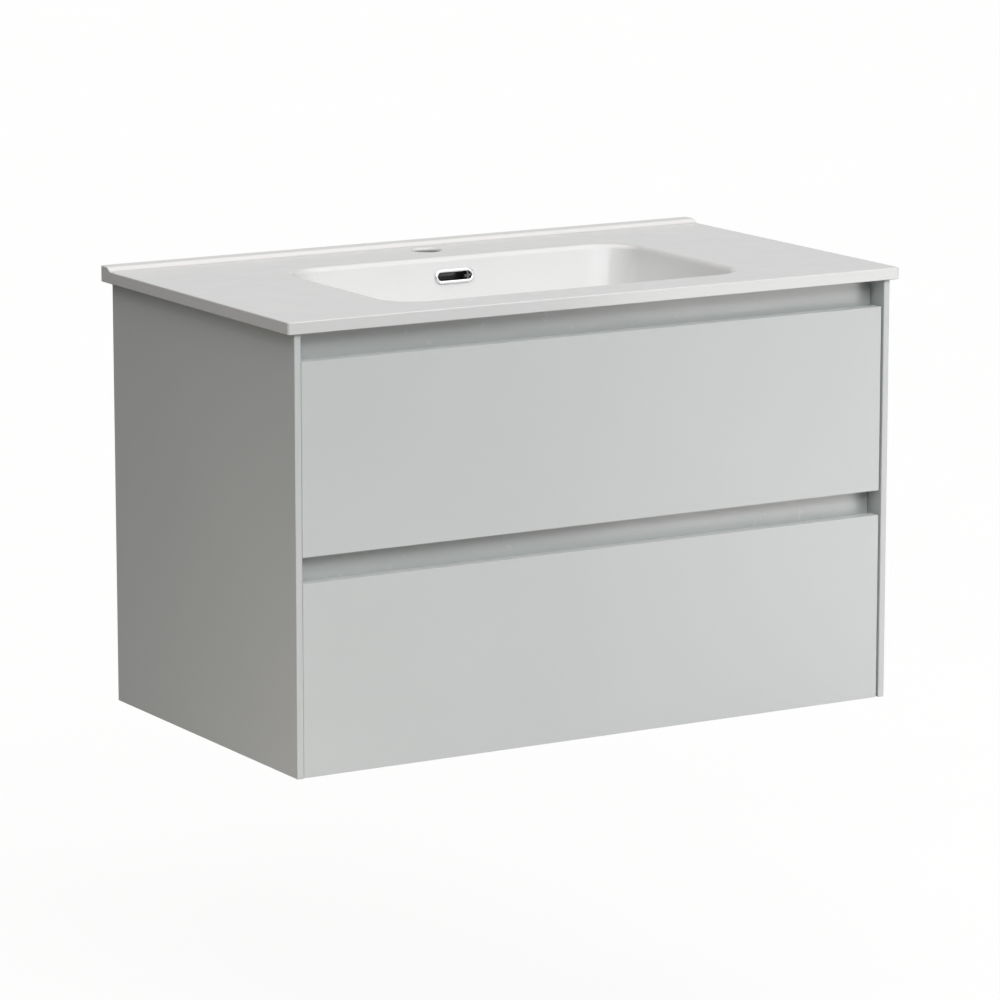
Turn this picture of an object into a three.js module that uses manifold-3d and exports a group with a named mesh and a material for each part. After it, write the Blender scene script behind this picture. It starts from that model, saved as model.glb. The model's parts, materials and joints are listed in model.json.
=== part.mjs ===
// A wall-hung bathroom vanity, 80 cm wide: a lacquered cabinet with two drawers, opened by the grip
// channels above each front, under a ceramic basin top with one rectangular bowl.
// Millimetres, +Z up, +X to the right, the fronts face -Y and the wall plane is at y = WALL_Y.
// The origin is on the floor of the bounding box, in the middle of its width and depth.

import * as THREE from 'three';
import { mergeVertices } from 'three/addons/utils/BufferGeometryUtils.js';
import Module from 'manifold-3d';

// ---- Driving dimensions --------------------------------------------------------------------

const CABINET_WIDTH = 790;
const CABINET_HEIGHT = 500;
const FRONT_Y = -225; // faces of the drawer fronts and front edges of the side panels
const BACK_Y = 220; // back edges of the side panels
const WALL_Y = 230; // the wall, 10 mm behind the cabinet

const BOARD = 16; // thickness of every carcass board, drawer front and drawer bottom
const SLIP = 0.3; // clearance between pieces that are pushed or screwed together
const THROUGH = 1; // how far a hole's cutter reaches past the face it opens

const BASIN_WIDTH = 810;
const BASIN_FRONT_Y = -230;
const BASIN_EDGE = 14; // thickness of the basin's deck
const BASIN_CORNER = 3;
const UPSTAND_HEIGHT = 5;
const UPSTAND_TOP_DEPTH = 14;
const UPSTAND_FOOT_DEPTH = 13;
const UPSTAND_STEPS = 5;

const BOWL_HALF_WIDTH = 239;
const BOWL_FRONT_Y = -174;
const BOWL_BACK_Y = 119;
const BOWL_CORNER = 48;
const BOWL_CORNER_STEPS = 5;
const BOWL_SIDE_POINTS = 7; // between one corner and the next
const BOWL_RIM_RADIUS = 7;
const BOWL_RIM_STEPS = 3;
const BOWL_WALL_SLOPE = 13; // degrees away from the vertical
const BOWL_FLOOR_RADIUS = 36; // between the walls and the floor
const BOWL_FLOOR_STEPS = 4;
const BOWL_FLOOR_SLOPE = 3; // degrees of fall at the floor's edge
const BOWL_FLOOR_Z = 408; // at the floor's edge
const DRAIN_Z = 402; // the floor around the waste
const CERAMIC = 9; // thickness of the bowl's wall

const TAP_HOLE_Y = 174;
const TAP_HOLE_RADIUS = 17.5;
const DRAIN_Y = 15;
const DRAIN_RADIUS = 23;
const DRAIN_BOSS_RADIUS = 39; // the thick ceramic round the drain
const DRAIN_SEAT = { radius: 33.5, depth: 2.5, floorRadius: 35 }; // where the waste's flange lies
const OVERFLOW_Z = 491;
const OVERFLOW_RING = {
  length: 53,
  height: 17,
  opening: 42.5,
  openingHeight: 9.5,
  thickness: 2.6,
  sleeve: 8,
  sleeveWall: 1,
};
const OVERFLOW_CUT = { wider: 3, depth: 14 }; // the slot in the ceramic, against the ring's opening

const RECESS_DEPTH = 27; // from the fronts back to the grip channels
const CHANNEL_SHEET = 1.8;
const CHANNEL_LIP_Y = -206.5; // the channels' lips end just behind the fronts
const CHANNEL_BEND = 7;
const CHANNEL_END_GAP = 0.9; // between a channel's ends and the side panels
const PANEL_FRONT_EDGE = 8; // the side panels are thinned to this beside the fronts

const FRONT_LEFT_X = -386.6; // the left gap is finer than the right one
const FRONT_RIGHT_X = 383.8;
const UPPER_FRONT = { bottom: 250, top: 468.5 };
const LOWER_FRONT = { bottom: 0.5, top: 220.5 };
const UPPER_CHANNEL_BOTTOM = 446;
const MIDDLE_CHANNEL = { bottom: 197, top: 273 };

const UPPER_RUNNER_Z = 278; // underside of each pair of runners
const LOWER_RUNNER_Z = 20;
const DRAWER_FRONT_END_Y = -206.2; // where the steel drawer sides start
const DRAWER_BACK_Y = 190;
const RUNNER_FRONT_Y = -188;
const RUNNER_BACK_Y = 200;
const SHEET = 1.5; // runner steel
const DRAWER_SIDE_SHEET = 1.2;
const RUNNER_END_STEP = { slide: 8, drawerRail: 4 }; // each member ends a little before the next

const SIPHON_HALF_WIDTH = 126; // the cut-out around the trap, to the outside of its lining
const SIPHON_FRONT_Y = -56;
const SIPHON_CORNER = 30;
const SIPHON_WALL = 4;

// ---- Dimensions that follow from them --------------------------------------------------------

const OUTER_X = CABINET_WIDTH / 2;
const INNER_X = OUTER_X - BOARD;
const DECK_Z = CABINET_HEIGHT + BASIN_EDGE;
const CHANNEL_Y = FRONT_Y + RECESS_DEPTH;
const RAIL_Y = CHANNEL_Y + CHANNEL_SHEET + 0.2; // front of what the channels are screwed to
const FRONT_BACK_Y = FRONT_Y + BOARD;
const BOWL_CENTRE_Y = (BOWL_FRONT_Y + BOWL_BACK_Y) / 2;
const BOWL_HALF_DEPTH = (BOWL_BACK_Y - BOWL_FRONT_Y) / 2;

// Heights above the underside of a runner pair, and distances in from a side panel.
const STACK = {
  skirt: 20, // lower edge of the steel drawer side
  ledge: 28, // the drawer bottom rests here
  sideTop: 104,
  sideOuter: 5,
  sideInner: 18,
  ledgeEnd: 40,
};
const DRAWER_BOTTOM_OVER_RUNNER = STACK.ledge + SHEET + SLIP;
const DRAWER_INNER_X = INNER_X - STACK.sideInner - SLIP;

const SEGMENTS = 32; // round the turned pieces

// ---- Materials -------------------------------------------------------------------------------

function finish(color, roughness, metalness) {
  return new THREE.MeshStandardMaterial({ color, roughness, metalness });
}

const lacquer = finish(0xc4c9c7, 0.42, 0);
const ceramic = finish(0xf0f1ef, 0.08, 0);
const melamine = finish(0xb9b7b2, 0.6, 0);
const anodised = finish(0xc2c6c4, 0.35, 0.2);
const zinc = finish(0xb4b8bb, 0.35, 1);
const drawerSteel = finish(0x84888b, 0.4, 0.5);
const chrome = finish(0xe2e4e6, 0.06, 1);
const whitePlastic = finish(0xe6e6e3, 0.4, 0);
const greyPlastic = finish(0x8b8e90, 0.5, 0);
const rubber = finish(0x2b2b2c, 0.8, 0);

// ---- Building blocks -------------------------------------------------------------------------

// A straight block between two opposite corners.
function block(a, b) {
  const size = a.map((value, i) => Math.abs(b[i] - value));
  const centre = a.map((value, i) => (value + b[i]) / 2);
  return new THREE.BoxGeometry(...size).translate(...centre);
}

function shapeFrom(points) {
  return new THREE.Shape(points.map(([a, b]) => new THREE.Vector2(a, b)));
}

// An outline in one plane, swept square to it. Each plane is named by its two axes in cyclic order,
// so the sweep keeps its faces pointing out.
const AXES = {
  x: new THREE.Vector3(1, 0, 0),
  y: new THREE.Vector3(0, 1, 0),
  z: new THREE.Vector3(0, 0, 1),
};

function sweep(shape, axis, start, end) {
  const order = { x: 'yz', y: 'zx', z: 'xy' }[axis];
  const basis = new THREE.Matrix4().makeBasis(AXES[order[0]], AXES[order[1]], AXES[axis]);
  const options = { depth: Math.abs(end - start), bevelEnabled: false };
  const solid = new THREE.ExtrudeGeometry(shape, options).translate(0, 0, Math.min(start, end));
  return solid.applyMatrix4(basis);
}

function sweepX(yz, start, end) {
  return sweep(shapeFrom(yz), 'x', start, end);
}

function sweepY(xz, start, end) {
  return sweep(shapeFrom(xz.map(([x, z]) => [z, x])), 'y', start, end);
}

function sweepZ(xy, start, end) {
  return sweep(shapeFrom(xy), 'z', start, end);
}

// The outline of folded sheet metal: a path along one face, and the same path one thickness away
// on its left.
function folded(path, thickness) {
  const direction = (from, to) => new THREE.Vector2(to[0] - from[0], to[1] - from[1]).normalize();
  const other = path.map((point, i) => {
    const before = direction(path[Math.max(i - 1, 0)], path[Math.max(i, 1)]);
    const after = direction(path[Math.min(i, path.length - 2)], path[Math.min(i + 1, path.length - 1)]);
    const mitre = new THREE.Vector2(-before.y - after.y, before.x + after.x);
    mitre.multiplyScalar(thickness / (1 + before.dot(after)));
    return [point[0] + mitre.x, point[1] + mitre.y];
  });
  return [...path, ...other.reverse()];
}

const sine = (degrees) => Math.sin(THREE.MathUtils.degToRad(degrees));
const cosine = (degrees) => Math.cos(THREE.MathUtils.degToRad(degrees));

// Points round an arc, angles in degrees.
function arc(centreA, centreB, radius, from, to, steps = 5) {
  const points = [];
  for (let i = 0; i <= steps; i++) {
    const angle = from + ((to - from) * i) / steps;
    points.push([centreA + radius * cosine(angle), centreB + radius * sine(angle)]);
  }
  return points;
}

// A rectangle with round corners, as points from its right side round anticlockwise, with a number
// of points between one corner and the next.
function roundedRectangle(centreX, centreY, halfX, halfY, radius, steps = 5, between = 0) {
  const corners = [[1, 1, 0], [-1, 1, 90], [-1, -1, 180], [1, -1, 270]];
  const arcs = corners.map(([sideX, sideY, from]) => {
    const x = centreX + sideX * (halfX - radius);
    const y = centreY + sideY * (halfY - radius);
    return arc(x, y, radius, from, from + 90, steps);
  });
  return arcs.flatMap((corner, i) => {
    const [fromX, fromY] = corner[steps];
    const [toX, toY] = arcs[(i + 1) % arcs.length][0];
    const points = [...corner];
    for (let k = 1; k <= between; k++) {
      const part = k / (between + 1);
      points.push([fromX + (toX - fromX) * part, fromY + (toY - fromY) * part]);
    }
    return points;
  });
}

// A turned piece about the Z axis from its closed half-section of [radius, height] points.
function turned(section, x = 0, y = 0) {
  const points = [...section, section[0]].map(([r, z]) => new THREE.Vector2(r, z));
  return new THREE.LatheGeometry(points, SEGMENTS).rotateX(Math.PI / 2).translate(x, y, 0);
}

function disc(radius, bottom, top, x = 0, y = 0) {
  return turned([[0, bottom], [radius, bottom], [radius, top], [0, top]], x, y);
}

// A closed skin over rings of points, each ring above the next, with flat ends.
function loft(rings) {
  const count = rings[0].length;
  const position = rings.flat(2);
  const index = [];
  for (let level = 0; level < rings.length - 1; level++) {
    for (let i = 0; i < count; i++) {
      const a = level * count + i;
      const b = level * count + ((i + 1) % count);
      index.push(a, a + count, b, b, a + count, b + count);
    }
  }
  const last = (rings.length - 1) * count;
  for (let i = 1; i < count - 1; i++) {
    index.push(0, i, i + 1);
    index.push(last, last + i + 1, last + i);
  }
  const geometry = new THREE.BufferGeometry();
  geometry.setAttribute('position', new THREE.Float32BufferAttribute(position, 3));
  geometry.setIndex(index);
  return geometry;
}

// ---- Cutting and joining -----------------------------------------------------------------------

const wasm = await Module();
wasm.setup();

function toSolid(geometry) {
  const bare = geometry.clone();
  bare.deleteAttribute('normal');
  bare.deleteAttribute('uv');
  const merged = mergeVertices(bare, 1e-4);
  const vertProperties = new Float32Array(merged.attributes.position.array);
  const triVerts = new Uint32Array(merged.index.array);
  return new wasm.Manifold(new wasm.Mesh({ numProp: 3, vertProperties, triVerts }));
}

function toGeometry(solid) {
  const mesh = solid.getMesh();
  const geometry = new THREE.BufferGeometry();
  geometry.setAttribute('position', new THREE.BufferAttribute(new Float32Array(mesh.vertProperties), 3));
  geometry.setIndex(new THREE.BufferAttribute(new Uint32Array(mesh.triVerts), 1));
  geometry.computeVertexNormals();
  return geometry;
}

function join(...geometries) {
  return toGeometry(geometries.map(toSolid).reduce((whole, piece) => whole.add(piece)));
}

function cut(geometry, ...tools) {
  return toGeometry(tools.map(toSolid).reduce((rest, tool) => rest.subtract(tool), toSolid(geometry)));
}

// ---- The vanity as named pieces ------------------------------------------------------------------

const vanity = new THREE.Group();

function add(name, geometry, material) {
  const mesh = new THREE.Mesh(geometry, material);
  mesh.name = name;
  vanity.add(mesh);
  return mesh;
}

const SIDES = [['left', -1], ['right', 1]];

// ---- Carcass -------------------------------------------------------------------------------------

// A side panel, thinned on its inner face beside the fronts so that a slim edge shows.
function sidePanel(side) {
  const inner = side * INNER_X;
  const thinned = side * (OUTER_X - PANEL_FRONT_EDGE);
  const plan = [
    [side * OUTER_X, FRONT_Y],
    [thinned, FRONT_Y],
    [thinned, RAIL_Y],
    [inner, RAIL_Y],
    [inner, BACK_Y],
    [side * OUTER_X, BACK_Y],
  ];
  return sweepZ(plan, 0, CABINET_HEIGHT);
}

const BACK_RAIL_FRONT_Y = BACK_Y - BOARD;
const BOTTOM_PANEL_FRONT_Y = -206;
const FRONT_TOP_RAIL = { bottom: 450, thickness: 14 }; // thinner than the boards, to clear the bowl
const FRONT_MIDDLE_RAIL = { bottom: 206, top: 264 };
const BACK_UPPER_RAIL = { bottom: 400, top: 484 };
const BACK_LOWER_RAIL_TOP = 96;
const HANGER_NOTCH = { width: 26, bottom: 438 };

// The upper back rail, with its top corners cut away where the hangers reach through.
function backUpperRail() {
  const { bottom, top } = BACK_UPPER_RAIL;
  const notch = INNER_X - HANGER_NOTCH.width;
  const face = [
    [-INNER_X, bottom],
    [INNER_X, bottom],
    [INNER_X, HANGER_NOTCH.bottom],
    [notch, HANGER_NOTCH.bottom],
    [notch, top],
    [-notch, top],
    [-notch, HANGER_NOTCH.bottom],
    [-INNER_X, HANGER_NOTCH.bottom],
  ];
  return sweepY(face, BACK_RAIL_FRONT_Y, BACK_Y);
}

function addCarcass() {
  for (const [label, side] of SIDES) {
    add(`${label}_side_panel`, sidePanel(side), lacquer);
  }
  const topRail = FRONT_TOP_RAIL;
  const middleRail = FRONT_MIDDLE_RAIL;
  const rails = {
    bottom_panel: block([-INNER_X, BOTTOM_PANEL_FRONT_Y, 0], [INNER_X, BACK_RAIL_FRONT_Y, BOARD]),
    front_top_rail: block(
      [-INNER_X, RAIL_Y, topRail.bottom],
      [INNER_X, RAIL_Y + topRail.thickness, CABINET_HEIGHT],
    ),
    front_middle_rail: block(
      [-INNER_X, RAIL_Y, middleRail.bottom],
      [INNER_X, RAIL_Y + BOARD, middleRail.top],
    ),
    back_upper_rail: backUpperRail(),
    back_lower_rail: block([-INNER_X, BACK_RAIL_FRONT_Y, 0], [INNER_X, BACK_Y, BACK_LOWER_RAIL_TOP]),
  };
  for (const [name, rail] of Object.entries(rails)) {
    add(name, rail, lacquer);
  }
}

// ---- Grip channels -------------------------------------------------------------------------------

// The bend and lip at one end of a channel: the sheet turns from the upright back towards the fronts.
function channelLip(edgeZ, up) {
  const bendY = CHANNEL_Y - CHANNEL_BEND;
  const bendZ = edgeZ + up * (CHANNEL_SHEET + CHANNEL_BEND);
  const bend = arc(bendY, bendZ, CHANNEL_BEND, 0, -90 * up);
  return [...bend, [CHANNEL_LIP_Y, edgeZ + up * CHANNEL_SHEET]];
}

function gripChannel(path) {
  const end = OUTER_X - PANEL_FRONT_EDGE - CHANNEL_END_GAP;
  return sweepX(folded(path, CHANNEL_SHEET), -end, end);
}

function addGripChannels() {
  const upper = [[CHANNEL_Y, CABINET_HEIGHT - SLIP], ...channelLip(UPPER_CHANNEL_BOTTOM, 1)];
  const upperLip = channelLip(MIDDLE_CHANNEL.top, -1).reverse();
  const middle = [...upperLip, ...channelLip(MIDDLE_CHANNEL.bottom, 1)];
  add('upper_grip_channel', gripChannel(upper), anodised);
  add('middle_grip_channel', gripChannel(middle), anodised);
}

// ---- Basin ---------------------------------------------------------------------------------------

// The bowl's section from rim to floor, as inset from the opening, height and angle below level.
function bowlSection() {
  const steep = 90 - BOWL_WALL_SLOPE;
  const section = [];
  for (let i = 0; i <= BOWL_RIM_STEPS; i++) {
    const angle = (steep * i) / BOWL_RIM_STEPS;
    const z = DECK_Z - BOWL_RIM_RADIUS * (1 - cosine(angle));
    section.push({ inset: BOWL_RIM_RADIUS * sine(angle), z, angle });
  }
  const bendTop = BOWL_FLOOR_Z + BOWL_FLOOR_RADIUS * (cosine(BOWL_FLOOR_SLOPE) - cosine(steep));
  const rimEnd = section[BOWL_RIM_STEPS];
  const wallInset = rimEnd.inset + ((rimEnd.z - bendTop) * cosine(steep)) / sine(steep);
  for (let i = 0; i <= BOWL_FLOOR_STEPS; i++) {
    const angle = steep + ((BOWL_FLOOR_SLOPE - steep) * i) / BOWL_FLOOR_STEPS;
    const inset = wallInset + BOWL_FLOOR_RADIUS * (sine(steep) - sine(angle));
    const z = bendTop - BOWL_FLOOR_RADIUS * (cosine(angle) - cosine(steep));
    section.push({ inset, z, angle });
  }
  return section;
}

// One level of the bowl, at a distance outside the glazed face.
function bowlRing({ inset, z, angle }, outside) {
  const away = outside * sine(angle) - inset;
  const level = z - outside * cosine(angle);
  const halfX = BOWL_HALF_WIDTH + away;
  const halfY = BOWL_HALF_DEPTH + away;
  const corner = BOWL_CORNER;
  const ring = roundedRectangle(0, BOWL_CENTRE_Y, halfX, halfY, corner, BOWL_CORNER_STEPS, BOWL_SIDE_POINTS);
  return ring.map(([x, y]) => [x, y, level]);
}

// The ring round the waste in which the floor ends, with the same number of points.
function drainRing(floorRing, radius, z) {
  return floorRing.map(([x, y]) => {
    const angle = Math.atan2(y - DRAIN_Y, x);
    return [radius * Math.cos(angle), DRAIN_Y + radius * Math.sin(angle), z];
  });
}

function bowlHollow() {
  const rings = bowlSection().map((level) => bowlRing(level, 0));
  const above = rings[0].map(([x, y]) => [x, y, DECK_Z + 2 * UPSTAND_HEIGHT]);
  return loft([above, ...rings, drainRing(rings[rings.length - 1], DRAIN_SEAT.floorRadius, DRAIN_Z)]);
}

function bowlShell() {
  const rings = bowlSection().slice(BOWL_RIM_STEPS).map((level) => bowlRing(level, CERAMIC));
  const above = rings[0].map(([x, y]) => [x, y, CABINET_HEIGHT + CERAMIC]);
  return loft([above, ...rings, drainRing(rings[rings.length - 1], DRAIN_BOSS_RADIUS, DRAIN_Z - CERAMIC)]);
}

// The deck with its low upstand along the wall, both rounded at the corners in plan.
function basinDeck() {
  const centreY = (BASIN_FRONT_Y + WALL_Y) / 2;
  const halfDepth = (WALL_Y - BASIN_FRONT_Y) / 2;
  const plan = roundedRectangle(0, centreY, BASIN_WIDTH / 2, halfDepth, BASIN_CORNER);
  const topFront = WALL_Y - UPSTAND_TOP_DEPTH;
  const slope = [];
  for (let i = 0; i <= UPSTAND_STEPS; i++) {
    const part = i / UPSTAND_STEPS;
    const rise = (UPSTAND_HEIGHT * (1 + cosine(180 * part))) / 2;
    slope.push([topFront - UPSTAND_FOOT_DEPTH * part, DECK_Z + rise]);
  }
  const side = [
    [BASIN_FRONT_Y - THROUGH, CABINET_HEIGHT],
    [WALL_Y + THROUGH, CABINET_HEIGHT],
    [WALL_Y + THROUGH, DECK_Z + UPSTAND_HEIGHT],
    ...slope,
    [BASIN_FRONT_Y - THROUGH, DECK_Z],
  ];
  const long = toSolid(sweepX(side, -BASIN_WIDTH, BASIN_WIDTH));
  const upright = toSolid(sweepZ(plan, CABINET_HEIGHT - THROUGH, DECK_Z + 2 * UPSTAND_HEIGHT));
  return toGeometry(long.intersect(upright));
}

// The overflow duct runs down behind the bowl and forward under it into the drain.
const DUCT = { halfWidth: 22, frontY: 116, backY: 128, bottom: 380, top: 497, wall: 7, run: 10 };
const DUCT_UPRIGHT_Y = 80; // inside the bowl's back wall, which the duct grows out of
const UNDERSIDE_Z = DUCT.bottom - DUCT.wall;

function ductOutside() {
  const half = DUCT.halfWidth + DUCT.wall;
  const back = DUCT.backY + DUCT.wall;
  const run = block([-half, BOWL_CENTRE_Y, UNDERSIDE_Z], [half, back, DRAIN_Z]);
  const upright = block([-half, DUCT_UPRIGHT_Y, DRAIN_Z - THROUGH], [half, back, CABINET_HEIGHT + THROUGH]);
  return join(run, upright);
}

function ductInside() {
  const { halfWidth, frontY, backY, bottom, top } = DUCT;
  const upright = block([-halfWidth, frontY, bottom], [halfWidth, backY, top]);
  const run = block([-halfWidth, DRAIN_Y, bottom], [halfWidth, backY, bottom + DUCT.run]);
  return join(upright, run);
}

// A slot with round ends, square to the sloping back wall of the bowl, centred on the origin.
function slot(length, height, depth) {
  const half = length / 2 - height / 2;
  const outline = [
    ...arc(half, 0, height / 2, -90, 90, 8),
    ...arc(-half, 0, height / 2, 90, 270, 8),
  ];
  return sweepY(outline, -depth, depth);
}

// Where the bowl's back wall is at the overflow's height.
function backWallY() {
  const rimEnd = bowlSection()[BOWL_RIM_STEPS];
  const slope = sine(BOWL_WALL_SLOPE) / cosine(BOWL_WALL_SLOPE);
  return BOWL_BACK_Y - rimEnd.inset - (rimEnd.z - OVERFLOW_Z) * slope;
}

const OVERFLOW_TILT = THREE.MathUtils.degToRad(-BOWL_WALL_SLOPE);

function placeOnBackWall(object) {
  object.rotation.x = OVERFLOW_TILT;
  object.position.set(0, backWallY(), OVERFLOW_Z);
}

function basin() {
  const boss = disc(DRAIN_BOSS_RADIUS, UNDERSIDE_Z, DRAIN_Z - THROUGH, 0, DRAIN_Y);
  const body = join(basinDeck(), bowlShell(), ductOutside(), boss);
  const { wider, depth } = OVERFLOW_CUT;
  const opening = slot(OVERFLOW_RING.opening + wider, OVERFLOW_RING.openingHeight + wider, depth);
  opening.rotateX(OVERFLOW_TILT).translate(0, backWallY(), OVERFLOW_Z);
  const tapHole = disc(TAP_HOLE_RADIUS, CABINET_HEIGHT - THROUGH, DECK_Z + THROUGH, 0, TAP_HOLE_Y);
  const drain = disc(DRAIN_RADIUS, UNDERSIDE_Z - THROUGH, DRAIN_Z + THROUGH, 0, DRAIN_Y);
  const seat = disc(DRAIN_SEAT.radius, DRAIN_Z - DRAIN_SEAT.depth, DRAIN_Z + THROUGH, 0, DRAIN_Y);
  return cut(body, bowlHollow(), ductInside(), opening, tapHole, drain, seat);
}

// The chrome overflow ring: a flat face with a short sleeve into the slot.
function overflowRing() {
  const { length, height, opening, openingHeight, thickness, sleeve, sleeveWall } = OVERFLOW_RING;
  const face = slot(length, height, thickness / 2).translate(0, -thickness / 2 - SLIP, 0);
  const tube = slot(opening + 2 * sleeveWall, openingHeight + 2 * sleeveWall, sleeve / 2);
  tube.translate(0, sleeve / 2 - thickness, 0);
  return cut(join(face, tube), slot(opening, openingHeight, sleeve + THROUGH));
}

function addBasin() {
  add('basin', basin(), ceramic);
  placeOnBackWall(add('overflow_ring', overflowRing(), chrome));
}

// ---- Waste ---------------------------------------------------------------------------------------

const WASTE = {
  flange: 32,
  outer: 21,
  inner: 18.5,
  bottom: 340,
  seatZ: DRAIN_Z - DRAIN_SEAT.depth + SLIP,
  flangeTop: DRAIN_Z + 0.3,
  dishWidth: 7,
  dishDepth: 4,
};
const CROSS_BAR = { top: 361.7, height: 4.7, width: 5 }; // carries the cartridge
const INLET = { halfWidth: 7, bottom: 381, top: 389 }; // the overflow's way into the waste
const CARTRIDGE = { bottom: CROSS_BAR.top + SLIP, top: 388, outer: 7, inner: 4.4 };
const PLUG = { radius: 30.5, stem: 4, bottom: 374, edge: 2, dome: 5.2 };
const GASKET = { outer: 31, thickness: 4 };
const NUT = { corner: 30, height: 11 };

function wasteBody() {
  const { flange, outer, inner, bottom, seatZ, flangeTop, dishWidth, dishDepth } = WASTE;
  const section = [
    [inner, bottom],
    [outer, bottom],
    [outer, seatZ],
    [flange, seatZ],
    [flange, flangeTop],
    [inner + dishWidth, flangeTop - dishDepth / 10],
    [inner, flangeTop - dishDepth],
  ];
  const barEnd = (outer + inner) / 2;
  const bar = block(
    [-barEnd, DRAIN_Y - CROSS_BAR.width / 2, CROSS_BAR.top - CROSS_BAR.height],
    [barEnd, DRAIN_Y + CROSS_BAR.width / 2, CROSS_BAR.top],
  );
  const inlet = block(
    [-INLET.halfWidth, DRAIN_Y + inner * 0.8, INLET.bottom],
    [INLET.halfWidth, DRAIN_Y + outer + THROUGH, INLET.top],
  );
  return cut(join(turned(section, 0, DRAIN_Y), bar), inlet);
}

// The plug: a shallow domed cap on a stem that slides in the cartridge.
function wastePlug() {
  const under = WASTE.flangeTop + SLIP;
  const { radius, stem, bottom, edge, dome } = PLUG;
  const section = [
    [0, bottom],
    [stem, bottom],
    [stem, under],
    [radius, under],
    [radius, under + edge],
    [radius - edge, under + dome * 0.65],
    [radius * 0.6, under + dome * 0.9],
    [0, under + dome],
  ];
  return turned(section, 0, DRAIN_Y);
}

// A round tube on the drain's axis.
function drainTube(inner, outer, bottom, top) {
  return turned([[inner, bottom], [outer, bottom], [outer, top], [inner, top]], 0, DRAIN_Y);
}

// A six-sided nut with a round bore.
function wasteNut(top) {
  const bottom = top - NUT.height;
  const hexagon = arc(0, DRAIN_Y, NUT.corner, 0, 300);
  const bore = disc(WASTE.outer + SLIP, bottom - THROUGH, top + THROUGH, 0, DRAIN_Y);
  return cut(sweepZ(hexagon, bottom, top), bore);
}

function addWaste() {
  const gasketBottom = UNDERSIDE_Z - GASKET.thickness;
  const gasket = drainTube(WASTE.outer + SLIP, GASKET.outer, gasketBottom, UNDERSIDE_Z - SLIP);
  const cartridge = drainTube(CARTRIDGE.inner, CARTRIDGE.outer, CARTRIDGE.bottom, CARTRIDGE.top);
  add('waste_body', wasteBody(), chrome);
  add('waste_gasket', gasket, rubber);
  add('waste_nut', wasteNut(gasketBottom - SLIP), zinc);
  add('waste_cartridge', cartridge, whitePlastic);
  add('waste_plug', wastePlug(), chrome);
}

// ---- Hanging on the wall -------------------------------------------------------------------------

// Widths are distances in from the side panel's inner face, for the wall plate from its outer face.
const HOOK = {
  inner: 6,
  outer: 18,
  frontY: 150,
  backY: 227.4,
  bottom: 463,
  thickness: 3,
  nose: 2.4,
  noseBottom: 451,
};
const HANGER = { width: 22, frontY: 142, backY: 202, bottom: 440, top: 484, roomFrontY: 149, room: 0.5 };
const SOCKET = { inner: 12, radius: 3.5, depth: 6, heights: [450, 475] };
const WALL_PLATE = { outer: 8, inner: 60, bottom: 404, top: 476, sheet: 2, foldZ: 445, lipGap: 4, lipTop: 459 };
const WALL_SCREW = { radius: 3, z: 422, fromEdge: [16, 48] };
const BUMPER = { inner: 300, outer: 330, bottom: 30, top: 60 };

// A hook arm: it runs back out of the hanger and turns down behind the wall plate's lip.
function hangerHook(side) {
  const { inner, outer, bottom, thickness, frontY, backY, nose, noseBottom } = HOOK;
  const profile = [
    [frontY, bottom + thickness],
    [backY, bottom + thickness],
    [backY, noseBottom],
    [backY - nose, noseBottom],
    [backY - nose, bottom],
    [frontY, bottom],
  ];
  return sweepX(profile, side * (INNER_X - outer), side * (INNER_X - inner));
}

// The hanger's housing on the side panel, open front to back for the hook arm, with two round
// sockets in its front for the height and depth screws.
function hangerBody(side) {
  const { width, frontY, backY, bottom, top, roomFrontY, room } = HANGER;
  const housing = block([side * INNER_X, frontY, bottom], [side * (INNER_X - width), backY, top]);
  const hookRoom = block(
    [side * (INNER_X - HOOK.outer - room), roomFrontY, HOOK.bottom - room],
    [side * (INNER_X - HOOK.inner + room), backY + THROUGH, HOOK.bottom + HOOK.thickness + room],
  );
  const sockets = SOCKET.heights.map((z) => {
    const socket = disc(SOCKET.radius, -THROUGH, SOCKET.depth).rotateX(-Math.PI / 2);
    return socket.translate(side * (INNER_X - SOCKET.inner), frontY, z);
  });
  return cut(housing, hookRoom, ...sockets);
}

// A pressed wall plate whose lip the hook drops behind, with two screw holes.
function wallPlate(side) {
  const { outer, inner, bottom, top, sheet, foldZ, lipGap, lipTop } = WALL_PLATE;
  const face = WALL_Y - sheet;
  const lip = face - lipGap;
  const profile = [
    [WALL_Y, bottom],
    [WALL_Y, top],
    [face, top],
    [face, foldZ + sheet],
    [lip, foldZ + sheet],
    [lip, lipTop],
    [lip - sheet, lipTop],
    [lip - sheet, foldZ],
    [face, foldZ],
    [face, bottom],
  ];
  const plate = sweepX(profile, side * (OUTER_X - outer), side * (OUTER_X - inner));
  const holes = WALL_SCREW.fromEdge.map((fromEdge) => {
    const hole = disc(WALL_SCREW.radius, face - THROUGH, WALL_Y + THROUGH).rotateX(-Math.PI / 2);
    return hole.translate(side * (OUTER_X - fromEdge), 0, WALL_SCREW.z);
  });
  return cut(plate, ...holes);
}

function addHangers() {
  for (const [label, side] of SIDES) {
    add(`hanger_body_${label}`, hangerBody(side), whitePlastic);
    add(`hanger_hook_${label}`, hangerHook(side), zinc);
    add(`wall_plate_${label}`, wallPlate(side), zinc);
    const pad = block([side * BUMPER.inner, BACK_Y, BUMPER.bottom], [side * BUMPER.outer, WALL_Y, BUMPER.top]);
    add(`wall_bumper_${label}`, pad, rubber);
  }
}

// ---- Runners -------------------------------------------------------------------------------------

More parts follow.
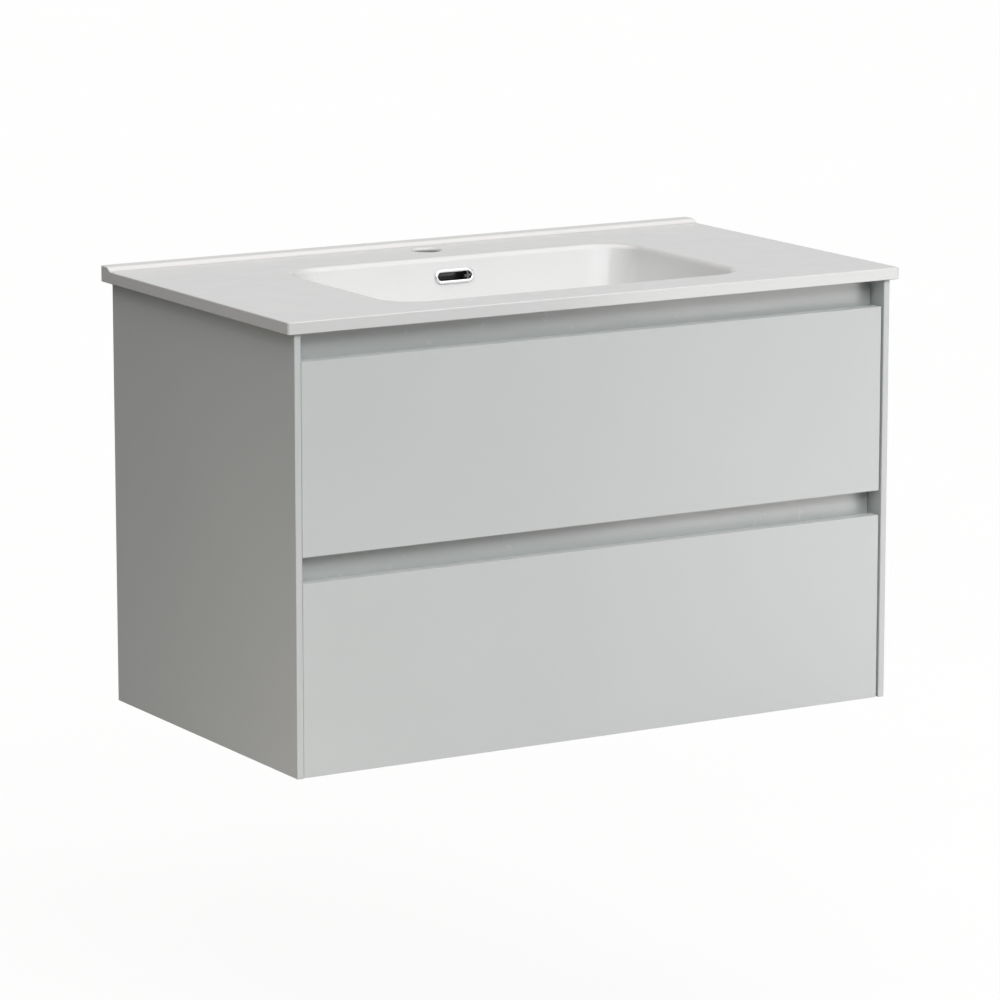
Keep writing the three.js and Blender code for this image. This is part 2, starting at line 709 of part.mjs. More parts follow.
// Fold lines as distances in from the side panel and heights over the runner's underside.
const FOLDS = {
  rail: [[0, 32], [0, 0], [30, 0], [30, 8]], // an upright on the panel, a floor and a guiding lip
  slide: [[24, 4], [24, 24], [10, 24], [10, 4]], // a deep channel between them, open downwards
  drawerRail: [[27, 18], [27, 28], [7, 28], [7, 18]], // a shallow channel that straddles the slide
};

function runnerSheet(path, side, base, thickness, front, back) {
  const outline = folded(path, thickness).map(([inward, up]) => [side * (INNER_X - inward), base + up]);
  return sweepY(outline, front, back);
}

function runnerRail(side, base) {
  return runnerSheet(FOLDS.rail, side, base, SHEET, RUNNER_FRONT_Y, RUNNER_BACK_Y);
}

function runnerSlide(side, base) {
  return runnerSheet(FOLDS.slide, side, base, SHEET, RUNNER_FRONT_Y, RUNNER_BACK_Y - RUNNER_END_STEP.slide);
}

function drawerRail(side, base) {
  const back = DRAWER_BACK_Y - RUNNER_END_STEP.drawerRail;
  return runnerSheet(FOLDS.drawerRail, side, base, SHEET, RUNNER_FRONT_Y, back);
}

// ---- Drawers -------------------------------------------------------------------------------------

const CROWN_STEPS = 6; // round the top of a drawer side

// A double-walled steel drawer side, open below, with a ledge inside for the drawer bottom.
function drawerSide(side, base) {
  const { skirt, ledge, sideTop, sideOuter, sideInner, ledgeEnd } = STACK;
  const round = (sideInner - sideOuter) / 2;
  const middle = sideOuter + round;
  const crown = arc(middle, sideTop - round, round, 180, 0, CROWN_STEPS);
  const path = [[sideOuter, skirt], ...crown, [sideInner, ledge + SHEET], [ledgeEnd, ledge + SHEET]];
  return runnerSheet(path, side, base, -DRAWER_SIDE_SHEET, DRAWER_FRONT_END_Y, DRAWER_BACK_Y);
}

// Widths are distances in from the side panel, heights distances over the drawer's ledge and under
// the top of its side.
const BRACKET = { inner: 46, sheet: 2, foot: 4, headroom: 2 };
const TONGUE = { outer: 8.5, inner: 11, foot: 6, headroom: 14, backY: -150 };

// A bracket behind the front: a plate on the front and a tongue inside the hollow drawer side.
function frontBracket(side, base) {
  const ledge = base + STACK.ledge;
  const top = base + STACK.sideTop;
  const plateY = FRONT_BACK_Y + SLIP;
  const plate = block(
    [side * (INNER_X - STACK.sideOuter), plateY, ledge + BRACKET.foot],
    [side * (INNER_X - BRACKET.inner), plateY + BRACKET.sheet, top - BRACKET.headroom],
  );
  const tongue = block(
    [side * (INNER_X - TONGUE.outer), plateY, ledge + TONGUE.foot],
    [side * (INNER_X - TONGUE.inner), TONGUE.backY, top - TONGUE.headroom],
  );
  return join(plate, tongue);
}

function drawerFront({ bottom, top }) {
  return block([FRONT_LEFT_X, FRONT_Y, bottom], [FRONT_RIGHT_X, FRONT_BACK_Y, top]);
}

// What both drawers share, under the drawer's own prefix.
function addDrawerFrame(prefix, base, span) {
  add(`${prefix}_drawer_front`, drawerFront(span), lacquer);
  for (const [label, side] of SIDES) {
    add(`${prefix}_runner_rail_${label}`, runnerRail(side, base), zinc);
    add(`${prefix}_runner_slide_${label}`, runnerSlide(side, base), zinc);
    add(`${prefix}_drawer_rail_${label}`, drawerRail(side, base), zinc);
    add(`${prefix}_drawer_side_${label}`, drawerSide(side, base), drawerSteel);
    add(`${prefix}_front_bracket_${label}`, frontBracket(side, base), zinc);
  }
}

const BOTTOM_FRONT_Y = FRONT_BACK_Y + 3; // clear of the front brackets
const BACK_BOARD_Y = DRAWER_BACK_Y - BOARD;
const BACK_BOARD_DROP = 2; // the upper drawer's backs and lining end below its sides

// The upper drawer's bottom, cut out from the back around the trap.
function upperDrawerBottom(bottom) {
  const cutHalf = SIPHON_HALF_WIDTH + SLIP;
  const cutFront = SIPHON_FRONT_Y - SLIP;
  const radius = SIPHON_CORNER + SLIP;
  const plan = [
    [-DRAWER_INNER_X, BOTTOM_FRONT_Y],
    [DRAWER_INNER_X, BOTTOM_FRONT_Y],
    [DRAWER_INNER_X, DRAWER_BACK_Y],
    [cutHalf, DRAWER_BACK_Y],
    ...arc(cutHalf - radius, cutFront + radius, radius, 0, -90),
    ...arc(radius - cutHalf, cutFront + radius, radius, -90, -180),
    [-cutHalf, DRAWER_BACK_Y],
    [-DRAWER_INNER_X, DRAWER_BACK_Y],
  ];
  return sweepZ(plan, bottom, bottom + BOARD);
}

// The plastic lining of the cut-out, a wall bent round the trap and open to the back.
function siphonLining(bottom, top) {
  const half = SIPHON_HALF_WIDTH;
  const path = [
    [half, DRAWER_BACK_Y],
    ...arc(half - SIPHON_CORNER, SIPHON_FRONT_Y + SIPHON_CORNER, SIPHON_CORNER, 0, -90),
    ...arc(SIPHON_CORNER - half, SIPHON_FRONT_Y + SIPHON_CORNER, SIPHON_CORNER, -90, -180),
    [-half, DRAWER_BACK_Y],
  ];
  return sweepZ(folded(path, -SIPHON_WALL), bottom, top);
}

function addUpperDrawer() {
  const bottom = UPPER_RUNNER_Z + DRAWER_BOTTOM_OVER_RUNNER;
  const floor = bottom + BOARD + SLIP;
  const top = UPPER_RUNNER_Z + STACK.sideTop - BACK_BOARD_DROP;
  addDrawerFrame('upper', UPPER_RUNNER_Z, UPPER_FRONT);
  add('upper_drawer_bottom', upperDrawerBottom(bottom), melamine);
  add('siphon_lining', siphonLining(bottom, top), greyPlastic);
  for (const [label, side] of SIDES) {
    const inner = side * (SIPHON_HALF_WIDTH + SLIP);
    const back = block([inner, BACK_BOARD_Y, floor], [side * DRAWER_INNER_X, DRAWER_BACK_Y, top]);
    add(`upper_drawer_back_${label}`, back, melamine);
  }
}

const GALLERY = { radius: 5, overRunner: 138, backTop: 152 };

// The lower drawer's back is wider above the steel sides, to take the gallery rods.
function lowerDrawerBack(floor) {
  const wide = INNER_X - STACK.sideOuter;
  const shoulder = LOWER_RUNNER_Z + STACK.sideTop + SLIP;
  const top = LOWER_RUNNER_Z + GALLERY.backTop;
  const face = [
    [-DRAWER_INNER_X, floor],
    [DRAWER_INNER_X, floor],
    [DRAWER_INNER_X, shoulder],
    [wide, shoulder],
    [wide, top],
    [-wide, top],
    [-wide, shoulder],
    [-DRAWER_INNER_X, shoulder],
  ];
  return sweepY(face, BACK_BOARD_Y, DRAWER_BACK_Y);
}

// A gallery rod above a drawer side, from the front to the back board.
function galleryRod(side) {
  const x = side * (INNER_X - (STACK.sideOuter + STACK.sideInner) / 2);
  const rod = disc(GALLERY.radius, FRONT_BACK_Y + SLIP, BACK_BOARD_Y - SLIP).rotateX(-Math.PI / 2);
  return rod.translate(x, 0, LOWER_RUNNER_Z + GALLERY.overRunner);
}

function addLowerDrawer() {
  const bottom = LOWER_RUNNER_Z + DRAWER_BOTTOM_OVER_RUNNER;
  const floor = bottom + BOARD + SLIP;
  addDrawerFrame('lower', LOWER_RUNNER_Z, LOWER_FRONT);
  const board = block(
    [-DRAWER_INNER_X, BOTTOM_FRONT_Y, bottom],
    [DRAWER_INNER_X, DRAWER_BACK_Y, bottom + BOARD],
  );
  add('lower_drawer_bottom', board, melamine);
  add('lower_drawer_back', lowerDrawerBack(floor), melamine);
  for (const [label, side] of SIDES) {
    add(`gallery_rod_${label}`, galleryRod(side), drawerSteel);
  }
}

addCarcass();
addGripChannels();
addBasin();
addWaste();
addHangers();
addUpperDrawer();
addLowerDrawer();

export default vanity;
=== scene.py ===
# The finished look of a wall-hung bathroom vanity: satin lacquered fronts and side panels, coated grip
# channels, a glazed ceramic basin with its overflow and waste, steel-sided drawers and the hardware.
# Metres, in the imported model's frame: +X to the right, the fronts face -Y, +Z up.

import json
import math

import bmesh
import bpy
from mathutils import Euler, Matrix, Vector


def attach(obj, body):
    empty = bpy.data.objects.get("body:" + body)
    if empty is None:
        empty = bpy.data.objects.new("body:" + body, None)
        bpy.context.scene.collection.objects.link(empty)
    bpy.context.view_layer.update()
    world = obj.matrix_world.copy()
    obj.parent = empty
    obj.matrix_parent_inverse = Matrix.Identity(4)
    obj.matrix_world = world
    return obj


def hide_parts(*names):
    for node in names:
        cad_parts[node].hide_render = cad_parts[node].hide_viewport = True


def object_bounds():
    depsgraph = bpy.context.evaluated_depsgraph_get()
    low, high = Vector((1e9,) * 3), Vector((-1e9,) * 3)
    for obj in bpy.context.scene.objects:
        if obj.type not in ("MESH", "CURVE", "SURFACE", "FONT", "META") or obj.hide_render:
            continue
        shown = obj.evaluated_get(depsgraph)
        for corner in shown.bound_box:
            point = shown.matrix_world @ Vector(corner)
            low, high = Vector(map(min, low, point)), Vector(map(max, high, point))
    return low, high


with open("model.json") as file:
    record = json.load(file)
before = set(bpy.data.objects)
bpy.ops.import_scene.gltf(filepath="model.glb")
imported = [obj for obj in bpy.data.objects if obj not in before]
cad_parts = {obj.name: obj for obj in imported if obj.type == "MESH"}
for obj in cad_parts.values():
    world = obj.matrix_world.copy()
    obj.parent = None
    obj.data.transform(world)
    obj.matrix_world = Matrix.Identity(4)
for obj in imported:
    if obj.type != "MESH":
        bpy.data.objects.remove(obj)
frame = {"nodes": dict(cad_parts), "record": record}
cad_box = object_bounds()

MM = 0.001
CLOSE = 0.01 * MM  # points nearer than this are taken as one

# ---- Sizes of what is built here, in metres ----------------------------------------------------

DECK_TOP = 0.514
DECK_UNDERSIDE = 0.5
UPSTAND = 0.005
UPSTAND_FRONT = 0.203  # where the deck starts to rise
UPSTAND_CREST = 0.216
UPSTAND_STEPS = 12
UPSTAND_POINTS = 24  # across the basin
BASIN_CORNER = 0.003
BASIN_CORNER_STEPS = 8
BASIN_WIDE_POINTS = 16
BASIN_SIDE_PLACES = (-0.15, -0.05, 0.05, 0.15)
TOP_FILLET = 0.0012
TOP_FILLET_STEPS = 6
BOTTOM_FILLET = 0.001
BOTTOM_FILLET_STEPS = 4
BASIN_SHARP = 32  # edges bent by more degrees than this stay sharp

BOWL_HALF_WIDTH = 0.239
BOWL_FRONT = -0.174
BOWL_BACK = 0.119
BOWL_CORNER = 0.048
BOWL_CORNER_STEPS = 14
BOWL_WIDE_POINTS = 12
BOWL_DEEP_POINTS = 8
RIM_RADIUS = 0.007
RIM_STEPS = 8
WALL_STEPS = 5
WALL_SLOPE = math.radians(13)  # away from the vertical
FLOOR_RADIUS = 0.036
FLOOR_BEND_STEPS = 12
FLOOR_SLOPE = math.radians(3)
FLOOR_EDGE = 0.408
FLOOR_RINGS = 6
UNDER_FLOOR_RINGS = 3
CLEAR_OF_DECK = 0.003  # the bowl's outside starts this far under the deck
DRAIN_LEVEL = 0.402
CERAMIC = 0.009

TAP_HOLE = Vector((0, 0.174, DECK_TOP))
TAP_HOLE_RADIUS = 0.0175
TAP_HOLE_FILLET = 0.003
TAP_HOLE_FILLET_STEPS = 4
TAP_HOLE_SEGMENTS = 64
DRAIN = Vector((0, 0.015, DRAIN_LEVEL))
DRAIN_RADIUS = 0.023
SEAT_RADIUS = 0.0335
SEAT_DEPTH = 0.0025
BOSS_RADIUS = 0.039
BOSS_BOTTOM = 0.373

DUCT_HALF = 0.022  # inside the overflow duct behind and under the bowl
DUCT_WALL = 0.007
DUCT_FRONT = 0.116
DUCT_BACK = 0.128
DUCT_FLOOR = 0.380
DUCT_CEILING = 0.497
DUCT_RUN_HEIGHT = 0.010
DUCT_SHADE_LOW = (-0.0225, 0.1156, 0.3795)  # just round its inside, which is painted near black as shade seen through the overflow slot
DUCT_SHADE_HIGH = (0.0225, 0.1285, 0.4975)
HOLE_SHADE_LOW = (-0.0178, 0.1562, 0.5003)  # just round the wall of the tap hole, below its rim, where the glaze is painted dark grey as shade in the bore
HOLE_SHADE_HIGH = (0.0178, 0.1918, 0.5108)
DUCT_START = 0.042  # the duct's outside, from behind the drain up into the deck
DUCT_END = 0.135
DUCT_TOP = 0.503
TRIM_ABOVE = 0.02  # how far what trims the duct stands above the deck

OVERFLOW_LEVEL = 0.491
RING_LENGTH = 0.053
RING_HEIGHT = 0.017
RING_OPENING = 0.0425
RING_OPENING_HEIGHT = 0.0095
RING_THICKNESS = 0.0026
RING_CROWN = 0.0011
RING_CROWN_STEPS = 6
RING_END_STEPS = 24
RING_SHARP = 50
RING_SLEEVE = 0.0035
RING_SLEEVE_WALL = 0.001
RING_GAP = 0.0003
SLOT_CLEARANCE = 0.003
SLOT_DEPTH = 0.028

# ---- Materials ---------------------------------------------------------------------------------

USUAL_LOW = 0.3  # where most of a noise texture's values lie
USUAL_HIGH = 0.7


class Nodes:
    """A material's node tree, built one node at a time on object coordinates."""

    def __init__(self, name):
        self.material = bpy.data.materials.new(name)
        self.material.use_nodes = True
        self.tree = self.material.node_tree
        self.shader = self.tree.nodes["Principled BSDF"]
        self.place = self.tree.nodes.new("ShaderNodeTexCoord").outputs["Object"]

    def node(self, kind, **settings):
        made = self.tree.nodes.new(kind)
        for name, value in settings.items():
            setattr(made, name, value)
        return made

    def link(self, start, end):
        self.tree.links.new(start, end)

    def stretched(self, scale):
        mapping = self.node("ShaderNodeMapping")
        mapping.inputs["Scale"].default_value = scale
        self.link(self.place, mapping.inputs["Vector"])
        return mapping.outputs["Vector"]

    def noise(self, scale, detail=3.0, place=None):
        noise = self.node("ShaderNodeTexNoise")
        noise.inputs["Scale"].default_value = scale
        noise.inputs["Detail"].default_value = detail
        self.link(place or self.place, noise.inputs["Vector"])
        return noise.outputs["Fac"]

    def cells(self, scale):
        cells = self.node("ShaderNodeTexVoronoi")
        cells.inputs["Scale"].default_value = scale
        self.link(self.place, cells.inputs["Vector"])
        return cells.outputs["Distance"]

    def spread(self, value, low, high):
        """Maps a texture's usual range onto a range of numbers."""
        spread = self.node("ShaderNodeMapRange")
        spread.inputs["From Min"].default_value = USUAL_LOW
        spread.inputs["From Max"].default_value = USUAL_HIGH
        spread.inputs["To Min"].default_value = low
        spread.inputs["To Max"].default_value = high
        self.link(value, spread.inputs["Value"])
        return spread.outputs["Result"]

    def colours(self, value, low, high, start=USUAL_LOW, end=USUAL_HIGH):
        ramp = self.node("ShaderNodeValToRGB")
        ramp.color_ramp.elements[0].position = start
        ramp.color_ramp.elements[1].position = end
        ramp.color_ramp.elements[0].color = (*low, 1)
        ramp.color_ramp.elements[1].color = (*high, 1)
        self.link(value, ramp.inputs["Fac"])
        return ramp.outputs["Color"]

    def within(self, low, high):
        """One inside a box between two corners, and nothing outside it."""
        parts = self.node("ShaderNodeSeparateXYZ")
        self.link(self.place, parts.inputs["Vector"])
        share = None
        for value, start, end in zip(parts.outputs, low, high):
            inside = self.node("ShaderNodeMath", operation="COMPARE")
            inside.inputs[1].default_value = (start + end) / 2
            inside.inputs[2].default_value = (end - start) / 2
            self.link(value, inside.inputs[0])
            if share:
                both = self.node("ShaderNodeMath", operation="MULTIPLY")
                self.link(share, both.inputs[0])
                self.link(inside.outputs["Value"], both.inputs[1])
                share = both.outputs["Value"]
            else:
                share = inside.outputs["Value"]
        return share

    def mixed(self, share, first, second):
        """The first colour, or where the share is one the second, which is fixed."""
        mix = self.node("ShaderNodeMix", data_type="RGBA")
        self.link(share, mix.inputs["Factor"])
        self.link(first, mix.inputs["A"])
        mix.inputs["B"].default_value = (*second, 1)
        return mix.outputs["Result"]

    def bump(self, height, depth, onto=None):
        bump = self.node("ShaderNodeBump")
        bump.inputs["Strength"].default_value = 1
        bump.inputs["Distance"].default_value = depth
        self.link(height, bump.inputs["Height"])
        if onto:
            self.link(onto, bump.inputs["Normal"])
        return bump.outputs["Normal"]

    def finish(self, colour, roughness, normal, **fixed):
        self.link(colour, self.shader.inputs["Base Color"])
        self.link(roughness, self.shader.inputs["Roughness"])
        self.link(normal, self.shader.inputs["Normal"])
        for name, value in fixed.items():
            self.shader.inputs[name.replace("_", " ")].default_value = value
        return self.material


def tinted(colour, share):
    """The same colour, lighter or darker."""
    return tuple(min(channel * share, 1.0) for channel in colour)


def lacquer():
    """Sprayed satin lacquer: a faint orange peel, and almost even in colour."""
    nodes = Nodes("satin_lacquer")
    grey = (0.665, 0.69, 0.683)
    cloud = nodes.noise(3.5, 2)
    peel = nodes.noise(620, 2)
    colour = nodes.colours(cloud, tinted(grey, 0.985), tinted(grey, 1.015))
    roughness = nodes.spread(nodes.noise(40, 4), 0.36, 0.42)
    return nodes.finish(colour, roughness, nodes.bump(peel, 0.012 * MM), IOR=1.5)


def grip_coating():
    """The channels' coating: the fronts' grey, smoother and with a fine grain."""
    nodes = Nodes("channel_coating")
    grey = (0.64, 0.66, 0.652)
    grain = nodes.noise(900, 2, nodes.stretched((0.02, 1, 1)))
    colour = nodes.colours(nodes.noise(5, 2), tinted(grey, 0.97), tinted(grey, 1.02))
    roughness = nodes.spread(nodes.noise(60, 3), 0.2, 0.28)
    return nodes.finish(colour, roughness, nodes.bump(grain, 0.006 * MM), IOR=1.5)


def glaze():
    """White sanitary glaze, hardly uneven, with the slow waves of fired ceramic. Painted shade colours the
    tap hole's wall below its rim dark grey and the overflow duct's inside near black.
    """
    nodes = Nodes("white_glaze")
    white = (0.80, 0.808, 0.803)
    glazed = nodes.colours(nodes.noise(6, 3), tinted(white, 0.99), tinted(white, 1.01))
    # painted shade: the tap hole's wall below the rim is coloured dark grey instead of the glaze's white
    hole_shade_colour = nodes.mixed(nodes.within(HOLE_SHADE_LOW, HOLE_SHADE_HIGH), glazed, (0.42, 0.41, 0.395))
    # painted shade: the overflow duct's inside is coloured near black
    colour = nodes.mixed(nodes.within(DUCT_SHADE_LOW, DUCT_SHADE_HIGH), hole_shade_colour, (0.06, 0.058, 0.055))
    roughness = nodes.spread(nodes.noise(22, 4), 0.14, 0.2)
    waves = nodes.bump(nodes.noise(9, 1), 0.25 * MM)
    return nodes.finish(colour, roughness, nodes.bump(nodes.noise(260, 2), 0.004 * MM, onto=waves), IOR=1.52)


def melamine():
    """Grey board with a printed and pressed linear grain, from front to back and upright."""
    nodes = Nodes("grey_melamine")
    grain = nodes.noise(55, 6, nodes.stretched((1, 0.04, 0.04)))
    pores = nodes.noise(700, 3, nodes.stretched((1, 0.05, 0.05)))
    colour = nodes.colours(grain, (0.365, 0.36, 0.345), (0.435, 0.43, 0.415), 0.35, 0.65)
    roughness = nodes.spread(pores, 0.5, 0.66)
    return nodes.finish(colour, roughness, nodes.bump(pores, 0.05 * MM))


def powder_coat():
    """Dark grey powder coat on steel, with its fine pebbled skin."""
    nodes = Nodes("grey_powder_coat")
    pebbles = nodes.noise(1300, 2)
    colour = nodes.colours(nodes.noise(9, 3), (0.155, 0.16, 0.166), (0.178, 0.183, 0.19))
    roughness = nodes.spread(nodes.noise(70, 3), 0.4, 0.5)
    return nodes.finish(colour, roughness, nodes.bump(pebbles, 0.03 * MM), Metallic=0.2)


def zinc():
    """Bright zinc plating, slightly cloudy, with the drawn grain of strip steel."""
    nodes = Nodes("zinc_plating")
    strip = nodes.noise(1100, 3, nodes.stretched((1, 0.02, 1)))
    colour = nodes.colours(nodes.noise(32, 4), (0.5, 0.515, 0.53), (0.66, 0.67, 0.68))
    roughness = nodes.spread(nodes.noise(85, 4), 0.26, 0.42)
    return nodes.finish(colour, roughness, nodes.bump(strip, 0.01 * MM), Metallic=1)


def chrome():
    """Polished chrome with the faintest smears."""
    nodes = Nodes("polished_chrome")
    colour = nodes.colours(nodes.noise(30, 2), (0.84, 0.85, 0.86), (0.88, 0.885, 0.89))
    roughness = nodes.spread(nodes.noise(110, 4), 0.07, 0.14)
    return nodes.finish(colour, roughness, nodes.bump(nodes.noise(160, 2), 0.003 * MM), Metallic=1)


def moulded(name, grey):
    """Moulded plastic with a fine eroded texture."""
    nodes = Nodes(name)
    grain = nodes.noise(1500, 3)
    colour = nodes.colours(nodes.noise(14, 3), tinted(grey, 0.95), tinted(grey, 1.04))
    roughness = nodes.spread(nodes.noise(90, 3), 0.42, 0.54)
    return nodes.finish(colour, roughness, nodes.bump(grain, 0.02 * MM))


def rubber():
    """Black rubber, dusty where it is least smooth."""
    nodes = Nodes("black_rubber")
    colour = nodes.colours(nodes.noise(60, 5), (0.022, 0.022, 0.023), (0.05, 0.05, 0.052))
    roughness = nodes.spread(nodes.noise(120, 4), 0.7, 0.9)
    return nodes.finish(colour, roughness, nodes.bump(nodes.cells(800), 0.05 * MM))


MATERIALS = {
    "lacquer": lacquer(),
    "grip_channel": grip_coating(),
    "ceramic": glaze(),
    "melamine": melamine(),
    "drawer_steel": powder_coat(),
    "zinc": zinc(),
    "chrome": chrome(),
    "white_plastic": moulded("white_plastic", (0.74, 0.74, 0.72)),
    "grey_plastic": moulded("grey_plastic", (0.23, 0.24, 0.25)),
    "rubber": rubber(),
}

# ---- Mesh building -----------------------------------------------------------------------------


def add_piece(name, mesh, body, slot, *nodes):
    """A new piece in its finish, riding on its body, in place of the CAD nodes it stands for."""
    piece = bpy.data.objects.new(name, mesh)
    bpy.context.scene.collection.objects.link(piece)
    mesh.materials.clear()
    mesh.materials.append(MATERIALS[slot])
    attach(piece, body)
    if nodes:
        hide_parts(*nodes)
    return piece


def to_mesh(shape, name, sharp=35):
    """Ends a bmesh as a closed mesh that is smooth up to an angle."""
    bmesh.ops.remove_doubles(shape, verts=shape.verts, dist=0.001 * MM)
    bmesh.ops.recalc_face_normals(shape, faces=shape.faces)
    mesh = bpy.data.meshes.new(name)
    shape.to_mesh(mesh)
    shape.free()
    smooth(mesh, sharp)
    return mesh


def smooth(mesh, sharp):
    for face in mesh.polygons:
        face.use_smooth = True
    mesh.set_sharp_from_angle(angle=math.radians(sharp))


def rows(shape, rings):
    """Adds rings of points and joins each to the next with four-sided faces."""
    made = [[shape.verts.new(point) for point in ring] for ring in rings]
    for lower, upper in zip(made, made[1:]):
        for i in range(len(lower)):
            j = (i + 1) % len(lower)
            shape.faces.new((lower[i], lower[j], upper[j], upper[i]))
    return made


def loops(*rings):
    """The edges round each ring of vertices."""
    found = []
    for ring in rings:
        for a, b in zip(ring, [*ring[1:], ring[0]]):
            found.append(edge_between(a, b))
    return found


def edge_between(a, b):
    for edge in a.link_edges:
        if edge.other_vert(a) == b:
            return edge
    return None


def fill(shape, edges):
    bmesh.ops.triangle_fill(shape, use_beauty=True, use_dissolve=False, edges=edges)


def arc(radius, start, end, steps):
    """Points round an arc about the origin, angles in degrees."""
    for i in range(steps + 1):
        angle = math.radians(start + (end - start) * i / steps)
        yield radius * math.cos(angle), radius * math.sin(angle)


def rounded_rectangle(half_x, half_y, radius, corner_steps, between):
    """Points and outward directions anticlockwise round a rectangle with round corners, from its right
    side, with points at the given shares of its back, left, front and right side."""
    outline = []
    corners = ((1, 1, 0), (-1, 1, 90), (-1, -1, 180), (1, -1, 270))
    for index, (side_x, side_y, start) in enumerate(corners):
        centre = Vector((side_x * (half_x - radius), side_y * (half_y - radius)))
        for x, y in arc(1, start, start + 90, corner_steps):
            outline.append((centre + Vector((x, y)) * radius, Vector((x, y))))
        last, outward = outline[-1]
        next_x, next_y, _ = corners[(index + 1) % 4]
        turn = Vector(outward)
        following = Vector((next_x * (half_x - radius), next_y * (half_y - radius))) + turn * radius
        for share in between[index]:
            outline.append((last.lerp(following, share), turn))
    return outline


def even(count):
    return [(i + 1) / (count + 1) for i in range(count)]


def boolean(mesh, tool, operation):
    """The mesh joined with another or cut by it."""
    target = bpy.data.objects.new("target", mesh)
    other = bpy.data.objects.new("tool", tool)
    for piece in (target, other):
        bpy.context.scene.collection.objects.link(piece)
    modifier = target.modifiers.new("join", "BOOLEAN")
    modifier.operation = operation
    modifier.solver = "EXACT"
    modifier.object = other
    bpy.context.view_layer.update()
    made = bpy.data.meshes.new_from_object(target.evaluated_get(bpy.context.evaluated_depsgraph_get()))
    for piece in (target, other):
        bpy.data.objects.remove(piece)
    return made


def weighted(piece):
    """Keeps flat faces flat beside their rounded edges."""
    piece.modifiers.new("weighted_normals", "WEIGHTED_NORMAL").keep_sharp = True


# ---- The basin ---------------------------------------------------------------------------------


def deck_level(y):
    """The height of the basin's top, which rises in a soft step along the wall."""
    share = min(max((y - UPSTAND_FRONT) / (UPSTAND_CREST - UPSTAND_FRONT), 0), 1)
    return DECK_TOP + UPSTAND * (1 - math.cos(math.pi * share)) / 2


def bowl_section():
    """The bowl from rim to floor, as (inset, height, angle below level)."""
    steep = math.pi / 2 - WALL_SLOPE
    section = []
    for i in range(RIM_STEPS + 1):
        angle = steep * i / RIM_STEPS
        section.append((RIM_RADIUS * math.sin(angle), DECK_TOP - RIM_RADIUS * (1 - math.cos(angle)), angle))
    rim_inset, rim_end, _ = section[-1]
    bend_top = FLOOR_EDGE + FLOOR_RADIUS * (math.cos(FLOOR_SLOPE) - math.cos(steep))
    wall_inset = rim_inset + (rim_end - bend_top) / math.tan(steep)
    for i in range(1, WALL_STEPS):
        share = i / WALL_STEPS
        inset = rim_inset + (wall_inset - rim_inset) * share
        section.append((inset, rim_end + (bend_top - rim_end) * share, steep))
    for i in range(FLOOR_BEND_STEPS + 1):
        angle = steep + (FLOOR_SLOPE - steep) * i / FLOOR_BEND_STEPS
        inset = wall_inset + FLOOR_RADIUS * (math.sin(steep) - math.sin(angle))
        height = bend_top - FLOOR_RADIUS * (math.cos(angle) - math.cos(steep))
        section.append((inset, height, angle))
    return section


def bowl_ring(inset, height, angle, outside=0.0):
    """One level of the bowl, at a distance outside the glazed face."""
    away = outside * math.sin(angle) - inset
    level = height - outside * math.cos(angle)
    half_depth = (BOWL_BACK - BOWL_FRONT) / 2
    shares = (even(BOWL_WIDE_POINTS), even(BOWL_DEEP_POINTS)) * 2
    outline = rounded_rectangle(
        BOWL_HALF_WIDTH + away, half_depth + away, BOWL_CORNER, BOWL_CORNER_STEPS, shares
    )
    centre = (BOWL_BACK + BOWL_FRONT) / 2
    return [Vector((point.x, point.y + centre, level)) for point, _ in outline]


def round_the_drain(ring, radius, height):
    """As many points as the ring has, on a circle round the waste."""
    made = []
    for point in ring:
        angle = math.atan2(point.y - DRAIN.y, point.x)
        made.append(Vector((radius * math.cos(angle), DRAIN.y + radius * math.sin(angle), height)))
    return made


def between_rings(start, end, steps):
    """The rings between two rings, without the first and with the last."""
    for i in range(1, steps + 1):
        yield [a.lerp(b, i / steps) for a, b in zip(start, end)]


def bowl_rings():
    """All rings from the rim down the inside, through the drain and up the outside."""
    section = bowl_section()
    inside = [bowl_ring(*level) for level in section]
    seat = round_the_drain(inside[-1], SEAT_RADIUS, DRAIN_LEVEL)
    inside += between_rings(inside[-1], seat, FLOOR_RINGS)
    for radius, height in (
        (SEAT_RADIUS, DRAIN_LEVEL - SEAT_DEPTH),
        (DRAIN_RADIUS, DRAIN_LEVEL - SEAT_DEPTH),
        (DRAIN_RADIUS, BOSS_BOTTOM),
        (BOSS_RADIUS, BOSS_BOTTOM),
        (BOSS_RADIUS, DRAIN_LEVEL - CERAMIC),
    ):
        inside.append(round_the_drain(inside[-1], radius, height))
    outside = [bowl_ring(*level, CERAMIC) for level in reversed(section[RIM_STEPS:])]
    top = [Vector((point.x, point.y, DECK_UNDERSIDE)) for point in outside[-1]]
    outside = [ring for ring in outside if ring[0].z < DECK_UNDERSIDE - CLEAR_OF_DECK]
    return [*inside, *between_rings(inside[-1], outside[0], UNDER_FLOOR_RINGS), *outside[1:], top]


def basin_outline():
    """Round the basin's plan, with points along the sides where the upstand rises."""
    width = cad_box[1].x - cad_box[0].x
    depth = cad_box[1].y - cad_box[0].y
    low = -depth / 2 + BASIN_CORNER
    length = depth - 2 * BASIN_CORNER
    rise = (UPSTAND_CREST - UPSTAND_FRONT) / UPSTAND_STEPS
    rises = [UPSTAND_FRONT + rise * i for i in range(UPSTAND_STEPS + 1)]
    right = [(y - low) / length for y in sorted([*BASIN_SIDE_PLACES, *rises])]
    left = [1 - share for share in reversed(right)]
    wide = even(BASIN_WIDE_POINTS)
    shares = (wide, left, wide, right)
    return rounded_rectangle(width / 2, depth / 2, BASIN_CORNER, BASIN_CORNER_STEPS, shares), rises


